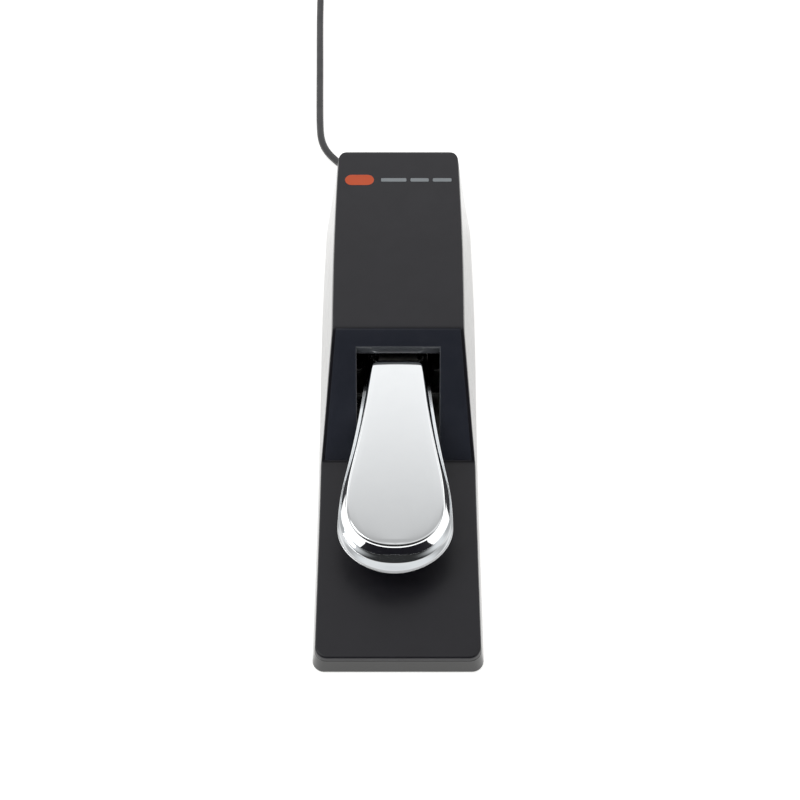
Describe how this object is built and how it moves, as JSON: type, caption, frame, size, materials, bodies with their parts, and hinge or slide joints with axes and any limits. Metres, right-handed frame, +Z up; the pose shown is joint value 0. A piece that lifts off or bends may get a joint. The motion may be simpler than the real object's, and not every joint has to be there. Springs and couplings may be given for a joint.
{
  "type": "sustain pedal",
  "caption": "Piano-style sustain pedal: chrome foot lever hinged in a low wedge-shaped black plastic housing, with an attached cord ending in a jack plug.",
  "frame": {"origin": "on the floor, under the middle of the housing's length and width", "axes": "+Y from the pedal's toe to the cord's outlet, +X to the player's right, +Z up"},
  "size_m": [0.1049, 0.5175, 0.0575],
  "materials": {
    "cover_plastic": "fine satin texture",
    "housing_plastic": "semi-gloss moulded",
    "bezel_plastic": "fine satin texture",
    "chrome_plate": "mirror polished",
    "zinc_steel": "zinc plated",
    "spring_steel": "oiled",
    "black_rubber": "matte",
    "white_nylon": "natural",
    "switch_plastic": "matte",
    "switch_red": "moulded",
    "cord_pvc": "satin",
    "wire_red": "satin",
    "wire_white": "satin",
    "nickel": "plated"
  },
  "bodies": {
    "housing": {"axle_clip_left": "spring_steel", "axle_clip_right": "spring_steel", "base_housing": "housing_plastic", "bottom_plate": "zinc_steel", "bracket_screw_1": "zinc_steel", "bracket_screw_2": "zinc_steel", "bracket_screw_3": "zinc_steel", "bracket_screw_4": "zinc_steel", "cable": "cord_pvc", "cable_coil": "cord_pvc", "cable_tail": "cord_pvc", "cable_tie": "black_rubber", "case_screw_1": "zinc_steel", "case_screw_2": "zinc_steel", "case_screw_3": "zinc_steel", "case_screw_4": "zinc_steel", "case_screw_5": "zinc_steel", "case_screw_6": "zinc_steel", "front_sole": "black_rubber", "lower_stop_block": "black_rubber", "pivot_axle": "zinc_steel", "pivot_bracket": "zinc_steel", "plug_boot": "black_rubber", "plug_handle": "black_rubber", "plug_insulator": "switch_plastic", "plug_sleeve": "nickel", "plug_tip": "nickel", "polarity_switch_body": "nickel", "polarity_wire": "wire_red", "rear_sole": "black_rubber", "return_spring": "spring_steel", "slot_bezel": "bezel_plastic", "spring_seat": "white_nylon", "strain_relief": "black_rubber", "switch_body": "switch_plastic", "switch_screw_1": "zinc_steel", "switch_screw_2": "zinc_steel", "switch_terminal_1": "nickel", "switch_terminal_2": "nickel", "switch_wire_red": "wire_red", "switch_wire_white": "wire_white", "top_cover": "cover_plastic", "upper_stop_bar": "zinc_steel", "upper_stop_sleeve": "black_rubber"},
    "pedal": {"chrome_pedal": "chrome_plate", "pedal_arm": "zinc_steel", "pivot_bush_left": "white_nylon", "pivot_bush_right": "white_nylon", "pedal_stud_1": "zinc_steel", "pedal_stud_2": "zinc_steel", "spring_cap": "white_nylon"},
    "switch_lever": {"switch_lever": "spring_steel"},
    "switch_button": {"switch_button": "switch_red"},
    "polarity_slider": {"polarity_slider": "switch_plastic"}
  },
  "joints": [
    {"name": "pedal_pivot", "type": "hinge", "parent": "housing", "child": "pedal", "pos_m": [0, 0.069, 0.031], "axis": [1, 0, 0], "range_deg": [0, 4.4], "stiffness_Nm_per_rad": 10.4, "springref_deg": -8.59, "deforming": ["return_spring"]},
    {"name": "switch_lever_hinge", "type": "hinge", "parent": "housing", "child": "switch_lever", "pos_m": [-0.0092, 0.0528, 0.028], "axis": [1, 0, 0], "range_deg": [0, 6.45]},
    {"name": "switch_button_travel", "type": "slide", "parent": "housing", "child": "switch_button", "axis": [0, 0, -1], "range_m": [0, 0.00132]},
    {"name": "polarity_slide", "type": "slide", "parent": "housing", "child": "polarity_slider", "axis": [1, 0, 0], "range_m": [0, 0.0035]}
  ],
  "couplings": [
    {"joint": "switch_lever_hinge", "follows": "pedal_pivot", "ratio": 1.4545},
    {"joint": "switch_button_travel", "follows": "pedal_pivot", "m_per_rad": 0.01693}
  ]
}
